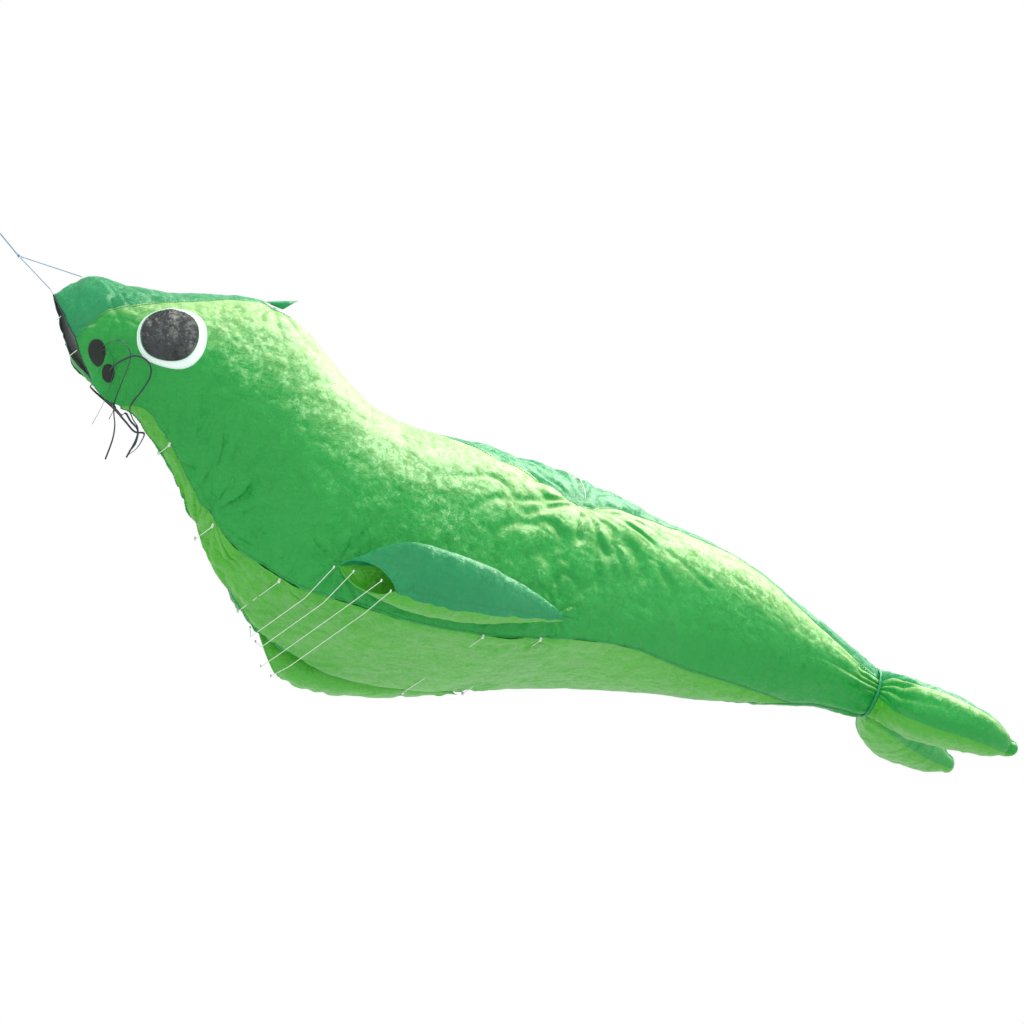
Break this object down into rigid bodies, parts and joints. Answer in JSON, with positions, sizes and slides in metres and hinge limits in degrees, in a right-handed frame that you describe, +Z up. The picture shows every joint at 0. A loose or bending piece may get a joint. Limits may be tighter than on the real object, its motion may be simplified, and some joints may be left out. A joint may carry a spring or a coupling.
{
  "type": "seal-shaped inflatable kite",
  "caption": "Ram-air show kite shaped like a swimming seal, with sewn nylon panels, open-mouthed flippers, cross ties, whiskers and a two-leg bridle.",
  "frame": {"origin": "centre of the tow loop, where the kite line ties on, with the kite flying level behind it", "axes": "+X from the nose to the tail, +Y to the seal's right side, +Z up"},
  "size_m": [4.5664, 1.2824, 1.2275],
  "materials": {
    "teal_nylon": "thin coated ripstop nylon with a soft gloss and fine crinkles",
    "leaf_nylon": "thin coated ripstop nylon with a soft gloss and fine crinkles",
    "lime_nylon": "thin coated ripstop nylon with a soft gloss and fine crinkles",
    "black_mesh": "open black mesh",
    "pupil_nylon": "crumpled dark grey ripstop",
    "white_nylon": "white ripstop applique",
    "black_felt": "matt black patch",
    "whisker_ribbon": "black and navy ribbon",
    "white_webbing": "narrow white webbing",
    "white_cord": "thin braided cord",
    "bridle_cord": "blue-grey braided cord"
  },
  "bodies": {
    "body": {"spine_panel": "teal_nylon", "left_side_panel": "leaf_nylon", "right_side_panel": "leaf_nylon", "belly_panel": "lime_nylon", "mouth_mesh": "black_mesh", "mouth_stays": "white_cord", "left_eye_white": "white_nylon", "right_eye_white": "white_nylon", "left_eye_pupil": "pupil_nylon", "right_eye_pupil": "pupil_nylon", "left_whisker_discs": "black_felt", "right_whisker_discs": "black_felt", "left_whisker_1": "whisker_ribbon", "left_whisker_2": "whisker_ribbon", "left_whisker_3": "whisker_ribbon", "right_whisker_1": "whisker_ribbon", "right_whisker_2": "whisker_ribbon", "right_whisker_3": "whisker_ribbon", "flipper_tie_1": "white_cord", "flipper_tie_2": "white_cord", "flipper_tie_3": "white_cord", "flipper_tie_4": "white_cord", "throat_tie": "white_cord", "chest_tie": "white_cord", "belly_ties": "white_cord", "spine_tie": "white_cord", "tie_tabs": "white_webbing", "waist_band": "leaf_nylon", "nose_tab": "white_webbing", "snout_tab": "white_webbing", "lower_bridle_leg": "bridle_cord", "upper_bridle_leg": "bridle_cord", "bridle_knot": "bridle_cord", "tow_line": "bridle_cord", "tow_loop": "bridle_cord"},
    "tail": {"left_hind_top": "teal_nylon", "right_hind_top": "teal_nylon", "left_hind_bottom": "lime_nylon", "right_hind_bottom": "lime_nylon", "left_hind_side": "leaf_nylon", "right_hind_side": "leaf_nylon", "hind_inner_panels": "leaf_nylon"},
    "left_flipper": {"left_flipper_top": "teal_nylon", "left_flipper_bottom": "lime_nylon"},
    "right_flipper": {"right_flipper_top": "teal_nylon", "right_flipper_bottom": "lime_nylon"},
    "left_ear": {"left_ear": "teal_nylon"},
    "right_ear": {"right_ear": "teal_nylon"}
  },
  "joints": [
    {"name": "tail_swing", "type": "hinge", "parent": "body", "child": "tail", "pos_m": [4, 0, -0.432], "axis": [0, 0, 1], "range_deg": [-25, 25], "stiffness_Nm_per_rad": 4, "deforming": ["waist_band"]},
    {"name": "left_flipper_flap", "type": "hinge", "parent": "body", "child": "left_flipper", "pos_m": [1.622, -0.38, -0.988], "axis": [-0.9756, 0.103, -0.1941], "range_deg": [-2, 16], "stiffness_Nm_per_rad": 5, "deforming": ["flipper_tie_1", "flipper_tie_2", "flipper_tie_3", "flipper_tie_4"]},
    {"name": "right_flipper_flap", "type": "hinge", "parent": "body", "child": "right_flipper", "pos_m": [1.622, 0.38, -0.988], "axis": [0.9756, 0.103, 0.1941], "range_deg": [-2, 16], "stiffness_Nm_per_rad": 5},
    {"name": "left_ear_flop", "type": "hinge", "parent": "body", "child": "left_ear", "pos_m": [1.155, -0.122, 0.058], "axis": [0.994, -0.0775, -0.0775], "range_deg": [-20, 20], "stiffness_Nm_per_rad": 0.02},
    {"name": "right_ear_flop", "type": "hinge", "parent": "body", "child": "right_ear", "pos_m": [1.155, 0.122, 0.058], "axis": [0.994, 0.0775, -0.0775], "range_deg": [-20, 20], "stiffness_Nm_per_rad": 0.02}
  ]
}
